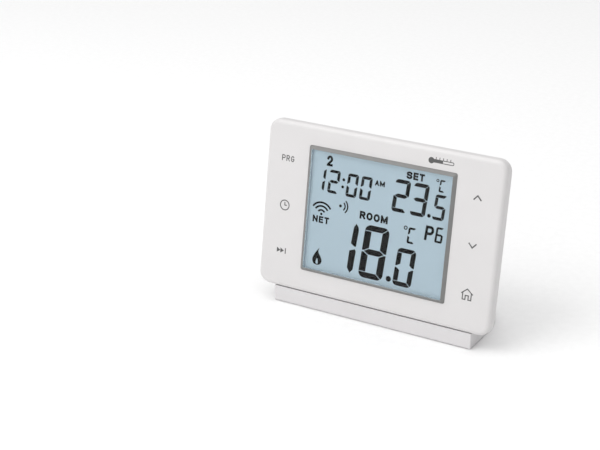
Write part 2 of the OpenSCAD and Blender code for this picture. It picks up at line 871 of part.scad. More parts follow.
// Side section of the space under the stand's walls
module stand_hollow_side() {
    t = stand_wall;
    polygon([
        [front_y + t, -1],
        [front_y + t, table_z(seat_up - t, seat_front_depth)],
        on_table(seat_up - t, step_depth + t),
        on_table(cradle_up - t, step_depth + t),
        on_table(cradle_up - t, arm_front + 1),
        [table_y(cradle_up, arm_back) + 2, table_z(cradle_up, arm_back) - t + 1.6],
        [rear_y - t, foot_proud + heel_h - t],
        [rear_y - t, -1]
    ]);
}

// Sweeps a side outline across the given width
module across(w) {
    rotate([90, 0, 90])
        linear_extrude(w, center = true)
            children();
}

// The stand seen from above, drawn in by the given inset
module stand_plan(inset, front_r) {
    half_w = stand_w / 2 - inset;
    rear_r = stand_rear_r - inset;
    y0 = front_y + inset;
    y1 = rear_y - inset;
    intersection() {
        union() {
            for (side = SIDES) {
                translate([side * (half_w - front_r), y0 + front_r])
                    circle(front_r);
                translate([side * (half_w - rear_r), y1 - rear_r])
                    circle(rear_r);
            }
            translate([-half_w + front_r, y0])
                square([2 * (half_w - front_r), y1 - rear_r - y0]);
            translate([-half_w, y0 + front_r])
                square([2 * half_w, y1 - rear_r - y0 - front_r]);
            translate([-half_w + rear_r, y0 + front_r])
                square([2 * (half_w - rear_r), y1 - y0 - front_r]);
        }
        translate([-half_w, y0])
            square([2 * half_w, y1 - y0]);
    }
}

module stand() {
    rib_t = 1.6;
    front_r = 0.5;
    rib_count = ceil(stand_w / 12.5) - 1;
    rib_pitch = (stand_w - stand_wall) / (rib_count + 1);
    color("whitesmoke") union() {
        difference() {
            intersection() {
                across(stand_w)
                    stand_side();
                linear_extrude(2 * edge_height + arm_h)
                    stand_plan(0, front_r);
            }
            difference() {
                intersection() {
                    across(stand_w - 2 * stand_wall)
                        stand_hollow_side();
                    translate([0, 0, -1])
                        linear_extrude(2 * edge_height + arm_h)
                            stand_plan(stand_wall, front_r);
                }
                for (i = [1:rib_count])
                    translate([-(stand_w - stand_wall) / 2 + i * rib_pitch, 0, 0])
                        across(rib_t)
                            stand_side();
                for (side = SIDES, foot = FEET)
                    translate([side * foot[0], foot[1], foot_proud])
                        cylinder(h = 2 * edge_height, r = foot_r + foot_wall);
            }
            for (side = SIDES, foot = FEET)
                translate([side * foot[0], foot[1], 0])
                    cylinder(h = foot_proud + foot_recess, r = foot_r + fit_gap);
        }
        for (side = SIDES)
            in_housing() {
                translate([side * arm_x, 0, arm_front])
                    linear_extrude(arm_t)
                        union() {
                            translate([-arm_w / 2, cradle_up - 1])
                                square([arm_w, arm_h - cradle_up - 1]);
                            translate([-arm_w / 2 + 2, cradle_up])
                                square([arm_w - 4, arm_h - cradle_up]);
                            for (x = SIDES)
                                translate([x * (arm_w / 2 - 2), arm_h - 2])
                                    circle(2);
                        }
                translate([side * arm_x, 0, 0]) {
                    block([-hook_w / 2, hook_y, hook_z + 0.5],
                        [hook_w / 2, hook_y + hook_neck_h, arm_front + 0.5]);
                    block([-hook_w / 2, hook_y, hook_z], [hook_w / 2, hook_y + hook_h, hook_z + hook_t]);
                }
            }
    }
}

module stand_feet() {
    color("darkgray")
        for (side = SIDES, foot = FEET)
            translate([side * foot[0], foot[1], 0])
                cylinder(h = foot_proud + foot_recess - fit_gap, r = foot_r);
}

front_cover();
display_frame();
display_lens();
lcd_glass();
backlight_panel();
backlight_leds();
lcd_holder();
zebra_connector();
main_pcb();
microcontroller();
lcd_driver();
crystal();
wifi_module();
radio_module();
radio_antenna();
capacitors();
voltage_regulator();
usb_socket();
room_sensor();
touch_springs();
pcb_screws();
rear_cover();
case_screws();
contact_bridge();
contact_positive();
contact_negative();
lead_positive();
lead_negative();
battery_lower();
battery_upper();
battery_door();
stand();
stand_feet();
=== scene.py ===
"""Room thermostat on its desk stand: finishes, marks, display and small parts on the CAD frame."""

import json
import math

import bmesh
import bpy
from bpy.props import FloatProperty, FloatVectorProperty, PointerProperty
from bpy.types import Operator, Panel, PropertyGroup
from mathutils import Euler, Matrix, Vector
from mathutils.geometry import delaunay_2d_cdt


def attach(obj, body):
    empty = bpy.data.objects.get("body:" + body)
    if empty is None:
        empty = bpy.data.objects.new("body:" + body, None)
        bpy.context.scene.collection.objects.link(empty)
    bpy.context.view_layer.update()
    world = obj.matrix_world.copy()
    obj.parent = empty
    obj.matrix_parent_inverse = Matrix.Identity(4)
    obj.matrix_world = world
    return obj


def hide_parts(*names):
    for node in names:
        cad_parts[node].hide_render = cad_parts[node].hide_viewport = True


bl_info = {
    "name": "Room Thermostat Look",
    "version": (1, 0, 0),
    "blender": (4, 5, 0),
    "location": "View3D > Sidebar > Thermostat",
    "description": "Builds the finishes, display, marks and small parts of a room thermostat",
    "category": "Object",
}

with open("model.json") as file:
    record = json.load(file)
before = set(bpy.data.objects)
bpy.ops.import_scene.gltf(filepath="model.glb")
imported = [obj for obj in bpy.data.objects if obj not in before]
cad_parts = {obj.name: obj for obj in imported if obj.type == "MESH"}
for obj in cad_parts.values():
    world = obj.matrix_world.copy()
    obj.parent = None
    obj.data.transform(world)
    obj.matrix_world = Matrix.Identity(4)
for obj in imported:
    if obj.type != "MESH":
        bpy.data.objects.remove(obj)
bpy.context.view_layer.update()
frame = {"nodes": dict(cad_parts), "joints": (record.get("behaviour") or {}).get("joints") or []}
NODES = frame["nodes"]
MM = 0.001
LEFT, RIGHT = -1, 1

# ---------------------------------------------------------------- the face frame
# Marks and segments are drawn in the face frame, in millimetres: x right, y up the face and
# z out of it, from the middle of the display frame at the level of the face.

LIFT = next(joint for joint in frame["joints"] if joint["name"] == "lift_off")
FACE_X = Vector((1.0, 0.0, 0.0))
FACE_Y = Vector(LIFT["axis"]).normalized()
FACE_Z = FACE_X.cross(FACE_Y).normalized()


def face_extent(node, axis):
    """Lowest and highest distance of a CAD node along one direction, in metres."""
    reach = [vertex.co.dot(axis) for vertex in NODES[node].data.vertices]
    return min(reach), max(reach)


def middle(span):
    return (span[0] + span[1]) / 2


FACE_ORIGIN = FACE_Y * middle(face_extent("display_frame", FACE_Y))
FACE_ORIGIN = FACE_ORIGIN + FACE_Z * face_extent("front_cover", FACE_Z)[1]
TO_FACE = Matrix.Translation(FACE_ORIGIN) @ Matrix(
    (
        (FACE_X.x, FACE_Y.x, FACE_Z.x, 0.0),
        (FACE_X.y, FACE_Y.y, FACE_Z.y, 0.0),
        (FACE_X.z, FACE_Y.z, FACE_Z.z, 0.0),
        (0.0, 0.0, 0.0, 1.0),
    )
) @ Matrix.Scale(MM, 4)


def face_level(node, end):
    """Height over the face of a CAD node's outer (end 1) or inner (end 0) plane, in millimetres."""
    return (face_extent(node, FACE_Z)[end] - FACE_ORIGIN.dot(FACE_Z)) / MM


# ---------------------------------------------------------------- colours


def linear(hex_colour):
    """sRGB hex such as E4E2E2 as linear red, green, blue and alpha."""
    parts = [int(hex_colour[i:i + 2], 16) / 255 for i in (0, 2, 4)]
    return [c / 12.92 if c <= 0.04045 else ((c + 0.055) / 1.055) ** 2.4 for c in parts] + [1.0]


def shaded(colour, factor):
    """A colour made lighter or darker, as red, green, blue and alpha."""
    return [min(1.0, channel * factor) for channel in list(colour)[:3]] + [1.0]


# ---------------------------------------------------------------- settings


class ThermostatFinish(PropertyGroup):
    """Colours and surface sizes that a user would change."""

    shell: FloatVectorProperty(
        name="Shell", description="Colour of the white moulded covers", subtype="COLOR",
        size=3, min=0.0, max=1.0, default=linear("D5D3D3")[:3])
    stand: FloatVectorProperty(
        name="Stand", description="Colour of the stand", subtype="COLOR",
        size=3, min=0.0, max=1.0, default=linear("D6D4D5")[:3])
    rear: FloatVectorProperty(
        name="Rear", description="Colour of the rear cover and battery door", subtype="COLOR",
        size=3, min=0.0, max=1.0, default=linear("D1D0D0")[:3])
    border: FloatVectorProperty(
        name="Border", description="Colour of the grey frame round the display", subtype="COLOR",
        size=3, min=0.0, max=1.0, default=linear("80807F")[:3])
    display: FloatVectorProperty(
        name="Display", description="Colour of the display's blank field", subtype="COLOR",
        size=3, min=0.0, max=1.0, default=linear("B2BDC4")[:3])
    segment: FloatVectorProperty(
        name="Segment", description="Colour of a segment that is on", subtype="COLOR",
        size=3, min=0.0, max=1.0, default=linear("100D0D")[:3])
    ink: FloatVectorProperty(
        name="Ink", description="Colour of the printed key marks", subtype="COLOR",
        size=3, min=0.0, max=1.0, default=linear("595959")[:3])
    grain: FloatProperty(
        name="Grain", description="Spacing of the fine grain that the mould leaves on the covers",
        subtype="DISTANCE", unit="LENGTH", default=0.35 * MM, min=0.05 * MM, max=2 * MM)


class ThermostatDisplay(PropertyGroup):
    """How the display's segments are drawn."""

    slant: FloatProperty(
        name="Slant", description="Lean of the digits to the right", subtype="ANGLE",
        unit="ROTATION", default=math.radians(4.5), min=0.0, max=math.radians(12))
    # Glow of the display field, partly the backlight and partly painted light: it makes up for the
    # lamp light that the window holds back from the field.
    glow: FloatProperty(
        name="Glow", description="Strength of the backlight that shows through the field",
        default=0.17, min=0.0, max=2.0)
    shift: FloatProperty(
        name="Shift", description="Sideways shift of all segments on the glass, in millimetres",
        default=-0.4, min=-1.0, max=1.0)
    film: FloatProperty(
        name="Film", description="Thickness of a segment or a printed mark, in millimetres",
        default=0.03, min=0.01, max=0.08)


class ThermostatStage(PropertyGroup):
    """Camera and lights."""

    camera_place: FloatVectorProperty(
        name="Camera", description="Place of the camera", subtype="TRANSLATION", unit="LENGTH",
        size=3, default=(0.3013, -0.60255, 0.3239))
    camera_turn: FloatVectorProperty(
        name="Camera turn", description="Rotation of the camera", subtype="EULER", unit="ROTATION",
        size=3, default=(math.radians(67.41), 0.0, math.radians(30.67)))
    lens: FloatProperty(
        name="Lens", description="Focal length on a 36 mm wide sensor, in millimetres",
        default=86.4, min=20, max=200)
    key_power: FloatProperty(
        name="Key light", description="Power of the large soft light", subtype="POWER",
        unit="POWER", default=6.0, min=0)
    fill_power: FloatProperty(
        name="Fill light", description="Power of the soft light on the other side",
        subtype="POWER", unit="POWER", default=0.4, min=0)
    low_power: FloatProperty(
        name="Low light", description="Power of the low soft light in front", subtype="POWER",
        unit="POWER", default=2.7, min=0)
    top_power: FloatProperty(
        name="Top light", description="Power of the wide soft light overhead", subtype="POWER",
        unit="POWER", default=36.0, min=0)
    sky: FloatProperty(
        name="Sky", description="Strength of the even light from all round", default=0.45, min=0)


# ---------------------------------------------------------------- material tools


def add(tree, kind, settings=None, links=None):
    """Adds a node, sets its properties or sockets by name, and links sockets from other nodes."""
    node = tree.nodes.new(kind)
    for name, value in (settings or {}).items():
        if hasattr(node, name):
            setattr(node, name, value)
        else:
            node.inputs[name].default_value = value
    for name, socket in (links or {}).items():
        tree.links.new(socket, node.inputs[name])
    return node


def principled(name, **values):
    """A new material with its Principled shader's own sockets set."""
    material = bpy.data.materials.new(name)
    material.use_nodes = True
    tree = material.node_tree
    shader = tree.nodes["Principled BSDF"]
    for socket, value in values.items():
        shader.inputs[socket.replace("_", " ")].default_value = value
    return material, tree, shader


def object_noise(tree, spacing, detail=2.0, stretch=(1.0, 1.0, 1.0)):
    """Noise on object coordinates whose features are about spacing metres apart."""
    coordinates = add(tree, "ShaderNodeTexCoord")
    mapping = add(tree, "ShaderNodeMapping", {"Scale": stretch},
                  {"Vector": coordinates.outputs["Object"]})
    return add(tree, "ShaderNodeTexNoise", {"Scale": 1 / spacing, "Detail": detail},
               {"Vector": mapping.outputs["Vector"]})


# Most of a noise's values lie between these two
NOISE_LOW, NOISE_HIGH = 0.3, 0.7


def vary_colour(tree, shader, source, dark, light, low=NOISE_LOW, high=NOISE_HIGH):
    """Base colour that runs from dark to light as the source value goes from low to high."""
    ramp = add(tree, "ShaderNodeValToRGB", links={"Fac": source})
    ramp.color_ramp.elements[0].position = low
    ramp.color_ramp.elements[0].color = dark
    ramp.color_ramp.elements[1].position = high
    ramp.color_ramp.elements[1].color = light
    tree.links.new(ramp.outputs["Color"], shader.inputs["Base Color"])


def vary_roughness(tree, shader, source, low, high):
    """Roughness that runs from low to high with the source value."""
    span = add(tree, "ShaderNodeMapRange", {
        "From Min": NOISE_LOW, "From Max": NOISE_HIGH, "To Min": low, "To Max": high,
    }, {"Value": source})
    tree.links.new(span.outputs["Result"], shader.inputs["Roughness"])


def relief(tree, shader, source, depth, strength=1.0):
    """Bump of the given depth in metres."""
    bump = add(tree, "ShaderNodeBump", {"Strength": strength, "Distance": depth},
               {"Height": source})
    tree.links.new(bump.outputs["Normal"], shader.inputs["Normal"])


# ---------------------------------------------------------------- materials


def moulded_abs(name, colour, grain, roughness, depth):
    """Injection-moulded ABS: an even white with a soft sheen and a very fine spark-eroded grain."""
    material, tree, shader = principled(name, IOR=1.53, Specular_IOR_Level=0.45)
    clouds = object_noise(tree, 0.018, 3.0)
    vary_colour(tree, shader, clouds.outputs["Fac"], shaded(colour, 0.985), shaded(colour, 1.01))
    mottle = object_noise(tree, 0.003, 2.0)
    vary_roughness(tree, shader, mottle.outputs["Fac"], roughness - 0.03, roughness + 0.03)
    relief(tree, shader, object_noise(tree, grain, 4.0).outputs["Fac"], depth)
    return material


def painted_border(colour):
    """Satin grey paint on the frame: an even grey with a soft glow along its slopes."""
    material, tree, shader = principled("satin_grey_paint", IOR=1.5, Specular_IOR_Level=0.35)
    clouds = object_noise(tree, 0.006, 2.0)
    vary_colour(tree, shader, clouds.outputs["Fac"], shaded(colour, 0.96), shaded(colour, 1.04))
    vary_roughness(tree, shader, object_noise(tree, 0.0015).outputs["Fac"], 0.42, 0.5)
    relief(tree, shader, object_noise(tree, 0.0003, 3.0).outputs["Fac"], 0.000004)
    return material


def clear_acrylic():
    """Acrylic window with an anti-glare coat: clear, faintly cool, and its reflections are weak.

    The coat is matched by an index below plain acrylic's 1.49, so that the segments stay near
    black.
    """
    material, tree, shader = principled(
        "coated_acrylic", Transmission_Weight=1.0, IOR=1.2, Base_Color=linear("F6FBFD"))
    vary_roughness(tree, shader, object_noise(tree, 0.02).outputs["Fac"], 0.015, 0.035)
    return material


def display_field(colour, glow):
    """Polariser over a lit reflector: even blue-grey, very fine sparkle, partly painted glow."""
    # The emission is partly the backlight and partly painted light: it brightens the field in place
    # of the lamp light that the window holds back.
    material, tree, shader = principled(
        "lcd_polariser", IOR=1.5, Specular_IOR_Level=0.15, Emission_Color=linear("D6ECFA"),
        Emission_Strength=glow)
    sparkle = object_noise(tree, 0.00035, 1.0)
    vary_colour(tree, shader, sparkle.outputs["Fac"], shaded(colour, 0.975), shaded(colour, 1.025))
    vary_roughness(tree, shader, object_noise(tree, 0.004).outputs["Fac"], 0.5, 0.58)
    relief(tree, shader, sparkle.outputs["Fac"], 0.000003)
    return material


def ink(name, colour, roughness, gloss=0.3):
    """Screen-printed ink: flat, dense and a little uneven where the mesh left it."""
    material, tree, shader = principled(name, IOR=1.48, Specular_IOR_Level=gloss)
    mesh = object_noise(tree, 0.0004, 2.0)
    vary_colour(tree, shader, mesh.outputs["Fac"], shaded(colour, 0.92), shaded(colour, 1.08))
    vary_roughness(tree, shader, mesh.outputs["Fac"], roughness - 0.05, roughness + 0.05)
    return material


def metal(name, hex_colour, roughness, spacing=0.0006, stretch=(1.0, 1.0, 1.0), depth=0.000004):
    """Plated metal: a mirror broken up by fine drawing marks and small changes of tone."""
    material, tree, shader = principled(name, Metallic=1.0)
    marks = object_noise(tree, spacing, 3.0, stretch)
    colour = linear(hex_colour)
    vary_colour(tree, shader, marks.outputs["Fac"], shaded(colour, 0.9), shaded(colour, 1.04))
    vary_roughness(tree, shader, marks.outputs["Fac"], roughness - 0.06, roughness + 0.08)
    relief(tree, shader, marks.outputs["Fac"], depth)
    return material


def solder_mask(name, hex_colour, trace_pitch=0.0018):
    """Solder mask over copper: glossy, with the slightly lighter lines of the tracks under it."""
    material, tree, shader = principled(name, IOR=1.5, Coat_Weight=0.4, Coat_Roughness=0.15)
    coordinates = add(tree, "ShaderNodeTexCoord")
    colour = linear(hex_colour)
    run, track = 9 * trace_pitch, trace_pitch / 9
    tracks = add(tree, "ShaderNodeTexBrick", {
        "Color1": shaded(colour, 1.0), "Color2": shaded(colour, 1.12),
        "Mortar": shaded(colour, 1.6), "Scale": 1.0, "Brick Width": run,
        "Row Height": trace_pitch, "Mortar Size": track,
    }, {"Vector": coordinates.outputs["Object"]})
    tree.links.new(tracks.outputs["Color"], shader.inputs["Base Color"])
    vary_roughness(tree, shader, object_noise(tree, 0.002).outputs["Fac"], 0.28, 0.38)
    relief(tree, shader, tracks.outputs["Fac"], 0.00003, 0.6)
    return material


def speckled(name, hex_colour, roughness, spacing, depth, contrast=0.12, **values):
    """Plain moulded or dipped material: one colour, mottled and grained at the given spacing."""
    material, tree, shader = principled(name, **values)
    grain = object_noise(tree, spacing, 3.0)
    colour = linear(hex_colour)
    vary_colour(tree, shader, grain.outputs["Fac"], shaded(colour, 1 - contrast),
                shaded(colour, 1 + contrast))
    vary_roughness(tree, shader, grain.outputs["Fac"], roughness - 0.05, roughness + 0.05)
    relief(tree, shader, grain.outputs["Fac"], depth)
    return material


def cell_jacket():
    """Shrink-wrapped cell: a glossy film in two plain bands, blue and silver-grey."""
    half_length = 0.025
    seam = 0.5
    material, tree, shader = principled("cell_jacket_film", IOR=1.55, Coat_Weight=0.5,
                                        Coat_Roughness=0.1)
    coordinates = add(tree, "ShaderNodeTexCoord")
    split = add(tree, "ShaderNodeSeparateXYZ", links={"Vector": coordinates.outputs["Object"]})
    along = add(tree, "ShaderNodeMapRange", {"From Min": -half_length, "From Max": half_length},
                {"Value": split.outputs["X"]})
    vary_colour(tree, shader, along.outputs["Result"], linear("2F5D7C"), linear("C9CDD0"),
                seam, seam + 0.02)
    vary_roughness(tree, shader, object_noise(tree, 0.002).outputs["Fac"], 0.22, 0.32)
    return material


def give(node, material):
    """Puts one material on a CAD node."""
    slots = NODES[node].data.materials
    slots.clear()
    slots.append(material)


# ---------------------------------------------------------------- flat outlines
# An outline is a list of (x, y) points in the face frame, in millimetres.


def arc(centre, radius, start, end, steps=12):
    """Points along an arc, with angles in degrees and one radius or one for each direction."""
    across, up = radius if isinstance(radius, tuple) else (radius, radius)
    turn = [math.radians(start + (end - start) * i / steps) for i in range(steps + 1)]
    return [(centre[0] + across * math.cos(a), centre[1] + up * math.sin(a)) for a in turn]


def disc(centre, radius, steps=28):
    return arc(centre, radius, 0, 360 * (steps - 1) / steps, steps - 1)


def band(centre, radius, width, start, end, steps=24):
    """Part of a ring, width across."""
    outer = arc(centre, radius + width / 2, start, end, steps)
    inner = arc(centre, radius - width / 2, end, start, steps)
    return outer + inner


def ring(centre, radius, width):
    """A whole ring, as two halves that meet."""
    return [band(centre, radius, width, 0, 180), band(centre, radius, width, 180, 360)]


# Longest mitre, in half widths of the line, and least cosine that a mitre is worked out with
MITRE_LIMIT = 2.2
MITRE_COSINE = 0.2


def stroke(points, width, reach=0.0):
    """Outlines of a line along the points, mitred at its corners and longer by reach at its ends."""
    points = [Vector(point) for point in points]
    points = [p for i, p in enumerate(points) if i == 0 or (p - points[i - 1]).length > 1e-4]
    ways = [(b - a).normalized() for a, b in zip(points, points[1:])]
    points[0] -= ways[0] * reach
    points[-1] += ways[-1] * reach
    half = width / 2
    outlines = []
    for a, b, way in zip(points, points[1:], ways):
        side = Vector((-way.y, way.x)) * half
        outlines.append([a - side, b - side, b + side, a + side])
    for corner, before, after in zip(points[1:], ways, ways[1:]):
        bend = before.x * after.y - before.y * after.x
        if abs(bend) < 1e-6:
            continue
        turn = -half if bend > 0 else half
        first = Vector((-before.y, before.x)) * turn
        last = Vector((-after.y, after.x)) * turn
        spread = (first + last).normalized()
        cosine = max(MITRE_COSINE, spread.dot(first.normalized()))
        tip = spread * min(half / cosine, MITRE_LIMIT * half)
        outlines.append([corner, corner + first, corner + tip, corner + last])
    return outlines


def clip(outline, point, normal):
    """The part of an outline on the side of a line that normal points to."""
    kept = []
    for i, here in enumerate(outline):
        there = outline[(i + 1) % len(outline)]
        a = (here[0] - point[0]) * normal[0] + (here[1] - point[1]) * normal[1]
        b = (there[0] - point[0]) * normal[0] + (there[1] - point[1]) * normal[1]
        if a >= 0:
            kept.append(here)
        if a * b < 0:
            t = a / (a - b)
            kept.append((here[0] + t * (there[0] - here[0]), here[1] + t * (there[1] - here[1])))
    return kept


def smooth_loop(points, steps=6):
    """A closed curve through the points, as an outline."""
    count = len(points)
    outline = []
    for i in range(count):
        p = [Vector(points[(i + k) % count]) for k in (-1, 0, 1, 2)]
        for s in range(steps):
            t = s / steps
            outline.append(0.5 * (2 * p[1] + (p[2] - p[0]) * t
                                  + (2 * p[0] - 5 * p[1] + 4 * p[2] - p[3]) * t * t
                                  + (3 * p[1] - p[0] - 3 * p[2] + p[3]) * t ** 3))
    return outline


# ---------------------------------------------------------------- letters and digits

# Plain capitals drawn as pen strokes in a square of side 1
LETTERS = {
    "A": [[(0, 0), (0.5, 1), (1, 0)], [(0.18, 0.3), (0.82, 0.3)]],
    "E": [[(1, 1), (0, 1), (0, 0), (1, 0)], [(0, 0.52), (0.9, 0.52)]],
    "G": [arc((0.5, 0.5), 0.5, 42, 330) + [(1, 0.46), (0.55, 0.46)]],
    "M": [[(0, 0), (0, 1), (0.5, 0.15), (1, 1), (1, 0)]],
    "N": [[(0, 0), (0, 1), (1, 0), (1, 1)]],
    "O": [arc((0.5, 0.5), 0.5, 0, 360, 28)],
    "P": [[(0, 0), (0, 1), (0.5, 1)] + arc((0.6, 0.73), (0.4, 0.27), 90, -90) + [(0, 0.46)]],
    "R": [[(0, 0), (0, 1), (0.5, 1)] + arc((0.6, 0.75), (0.4, 0.25), 90, -90) + [(0, 0.5)],
          [(0.5, 0.5), (1, 0)]],
    "S": [arc((0.5, 0.76), (0.5, 0.24), 20, 270) + arc((0.5, 0.26), (0.5, 0.26), 90, -160)],
    "T": [[(0, 1), (1, 1)], [(0.5, 1), (0.5, 0)]],
    "2": [arc((0.5, 0.71), (0.48, 0.29), 170, -30) + [(0, 0), (1, 0)]],
}
LETTER_WIDTHS = {"M": 1.2, "E": 0.86, "T": 0.9, "O": 1.08}


def letter(mark, left, right, low, high, line, lean=0.0):
    """Outlines of one capital that fills the box, drawn with a pen of the given line width."""
    half = line / 2
    outlines = []
    for points in LETTERS[mark]:
        path = [(left + half + x * (right - left - line), low + half + y * (high - low - line))
                for x, y in points]
        for outline in stroke(path, line, 0.0 if mark == "O" else half):
            for point, normal in (((left, low), (1, 0)), ((left, low), (0, 1)),
                                  ((right, high), (-1, 0)), ((right, high), (0, -1))):
                outline = clip(outline, point, normal)
            if len(outline) > 2:
                outlines.append([(x + (y - low) * lean, y) for x, y in outline])
    return outlines


def word(text, left, right, low, high, line, gap):
    """Outlines of a word that fills the box, with the given line width and gap between letters."""
    widths = [LETTER_WIDTHS.get(mark, 1.0) for mark in text]
    unit = (right - left - gap * (len(text) - 1)) / sum(widths)
    outlines = []
    for mark, width in zip(text, widths):
        outlines += letter(mark, left, left + unit * width, low, high, line)
        left += unit * width + gap
    return outlines


# Segments of a digit, by their usual letters: a top, b and c right, d bottom, e and f left,
# g middle
SEGMENTS = {
    "0": "abcdef", "1": "bc", "2": "abged", "3": "abgcd", "5": "afgcd", "6": "afgcde",
    "8": "abcdefg", "C": "adef",
}


# Point of a segment and radius of a digit's corners, as shares of the upright stroke's width
TIP_SHARE = 0.32
CORNER_SHARE = 0.87


def segment(part, width, height, upright, level, gap, mid_gap):
    """One segment of a digit whose lower left corner is at 0, 0, before it leans.

    upright and level are the widths of its upright and level strokes.
    """
    middle_y = height / 2
    tip = TIP_SHARE * upright
    if part == "g":
        return [(tip, middle_y), (upright, middle_y - level / 2),
                (width - upright, middle_y - level / 2), (width - tip, middle_y),
                (width - upright, middle_y + level / 2), (upright, middle_y + level / 2)]
    radius = CORNER_SHARE * upright
    outline = [(0, 0), (width, 0)] + arc((width - radius, height - radius), radius, 0, 90, 8)
    outline += arc((radius, height - radius), radius, 90, 180, 8)
    diagonal = Vector((level, -upright)).normalized()
    inner = Vector((width - upright, height - level))
    if part in "ad":
        outline = clip(outline, (0, height - level), (0, 1))
        outline = clip(outline, inner - diagonal * gap / 2, -diagonal)
    elif part in "bc":
        outline = clip(outline, (width - upright, 0), (1, 0))
        outline = clip(outline, inner + diagonal * gap / 2, diagonal)
    else:
        outline = clip(outline, (upright, 0), (-1, 0))
        outline = clip(outline, (0, height - level - gap), (0, -1))
    if part not in "ad":
        outline = clip(outline, (0, middle_y + mid_gap / 2), (0, 1))
        side = LEFT if part in "ef" else RIGHT
        corner = Vector((upright if side == LEFT else width - upright, middle_y + level / 2))
        slope = Vector((side * level / 2, upright - tip)).normalized()
        outline = clip(outline, corner + slope * mid_gap / 2, slope)
    # The lower segments are the upper ones turned over
    if part in "cde":
        outline = [(x, height - y) for x, y in outline]
    return outline


def digit(mark, x, y, width, height, upright, level, gap, mid_gap, slant):
    """Outlines of a digit whose lower left corner is at x, y, leaning to the right."""
    lean = math.tan(slant)
    outlines = [segment(part, width, height, upright, level, gap, mid_gap)
                for part in SEGMENTS[mark]]
    return [[(x + px + py * lean, y + py) for px, py in outline] for outline in outlines]


# ---------------------------------------------------------------- meshes


def union(solids, cuts=()):
    """Overlapping outlines as one triangulated sheet, less the cuts: points and triangles."""
    least_area, tolerance, inside_only = 1e-4, 1e-5, 1
    points, faces, count = [], [], 0
    for i, outline in enumerate(list(solids) + list(cuts)):
        area = sum(a[0] * b[1] - b[0] * a[1] for a, b in zip(outline, outline[1:] + outline[:1]))
        if abs(area) < least_area:
            continue
        faces.append(list(range(len(points), len(points) + len(outline))))
        points += [Vector(point) for point in (outline if area > 0 else outline[::-1])]
        count += i < len(solids)
    points, _, triangles, _, _, origins = delaunay_2d_cdt(
        points, [], faces, inside_only, tolerance, True)
    kept = [list(triangle) for triangle, origin in zip(triangles, origins)
            if origin and max(origin) < count]
    return points, kept


def flat_piece(name, solids, level, thickness, material, body, cuts=()):
    """Outlines as one thin closed solid that lies on the face frame at the given level."""
    points, triangles = union(solids, cuts)
    count = len(points)
    edges = {(a, b) for face in triangles for a, b in zip(face, face[1:] + face[:1])}
    faces = [face[::-1] for face in triangles]
    faces += [[i + count for i in face] for face in triangles]
    faces += [[a, b, b + count, a + count] for a, b in edges if (b, a) not in edges]
    faces.sort()
    work = bmesh.new()
    corners = [work.verts.new((p.x, p.y, z)) for z in (level, level + thickness) for p in points]
    for face in faces:
        work.faces.new([corners[i] for i in face])
    loose = [vertex for vertex in work.verts if not vertex.link_faces]
    bmesh.ops.delete(work, geom=loose, context="VERTS")
    work.transform(TO_FACE)
    mesh = bpy.data.meshes.new(name)
    work.to_mesh(mesh)
    work.free()
    return finished_piece(name, mesh, material, body)


def finished_piece(name, mesh, material, body):
    """A mesh that is already in place, as a piece at the origin that rides on a body."""
    mesh.materials.clear()
    mesh.materials.append(material)
    piece = bpy.data.objects.new(name, mesh)
    bpy.context.scene.collection.objects.link(piece)
    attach(piece, body)
    return piece


# ---------------------------------------------------------------- repeated parts


def copies(node, reach):
    """A CAD node's separate like parts, as the vertices of each in the face frame, in millimetres."""
    to_flat = TO_FACE.inverted()
    groups = []
    for vertex in NODES[node].data.vertices:
        place = to_flat @ vertex.co
        for group in groups:
            if (group[0].xy - place.xy).length < reach:
                group.append(place)
                break
        else:
            groups.append([place])
    return groups


def span_of(group, axis):
    values = [place[axis] for place in group]
    return min(values), max(values)


def half_width(group):
    """Half the width of a round part, in millimetres."""
    low, high = span_of(group, 0)
    return (high - low) / 2


def centres(groups, level):
    """The middle of each part, at the given level."""
    return [(middle(span_of(group, 0)), middle(span_of(group, 1)), level) for group in groups]


def repeated_piece(name, tree, values, places, material, body):
    """Runs a node tree on a point at each place and keeps the result as a plain mesh."""
    mesh = bpy.data.meshes.new(name)
    mesh.from_pydata([TO_FACE @ Vector(place) for place in places], [], [])
    base = bpy.data.objects.new(name + "_points", mesh)
    bpy.context.scene.collection.objects.link(base)
    modifier = base.modifiers.new("make", "NODES")
    modifier.node_group = tree
    for socket in tree.interface.items_tree:
        if socket.in_out == "INPUT" and socket.name in values:
            modifier[socket.identifier] = values[socket.name]
        if socket.in_out == "INPUT" and socket.name == "Material":
            modifier[socket.identifier] = material
    bpy.context.view_layer.update()
    made = bpy.data.meshes.new_from_object(
        base.evaluated_get(bpy.context.evaluated_depsgraph_get()))
    bpy.data.objects.remove(base)
    made.name = name
    return finished_piece(name, made, material, body)


def new_tree(name, sizes):
    """A geometry node tree with the given named sizes as inputs, in metres or turns."""
    tree = bpy.data.node_groups.new(name, "GeometryNodeTree")
    tree.interface.new_socket("Geometry", in_out="INPUT", socket_type="NodeSocketGeometry")
    for size, value in sizes.items():
        socket = tree.interface.new_socket(size, in_out="INPUT", socket_type="NodeSocketFloat")
        socket.default_value = value
    tree.interface.new_socket("Turn", in_out="INPUT", socket_type="NodeSocketVector")
    tree.interface.new_socket("Material", in_out="INPUT", socket_type="NodeSocketMaterial")
    tree.interface.new_socket("Geometry", in_out="OUTPUT", socket_type="NodeSocketGeometry")
    return tree, add(tree, "NodeGroupInput").outputs


def end_tree(tree, inputs, part):
    """Sets the part on every point, makes it real and gives it the material."""
    turn = add(tree, "FunctionNodeEulerToRotation", links={"Euler": inputs["Turn"]})
    set_out = add(tree, "GeometryNodeInstanceOnPoints", links={
        "Points": inputs["Geometry"], "Instance": part, "Rotation": turn.outputs["Rotation"]})
    real = add(tree, "GeometryNodeRealizeInstances", links={"Geometry": set_out.outputs[0]})
    finish = add(tree, "GeometryNodeSetMaterial", links={
        "Geometry": real.outputs[0], "Material": inputs["Material"]})
    add(tree, "NodeGroupOutput", links={"Geometry": finish.outputs[0]})


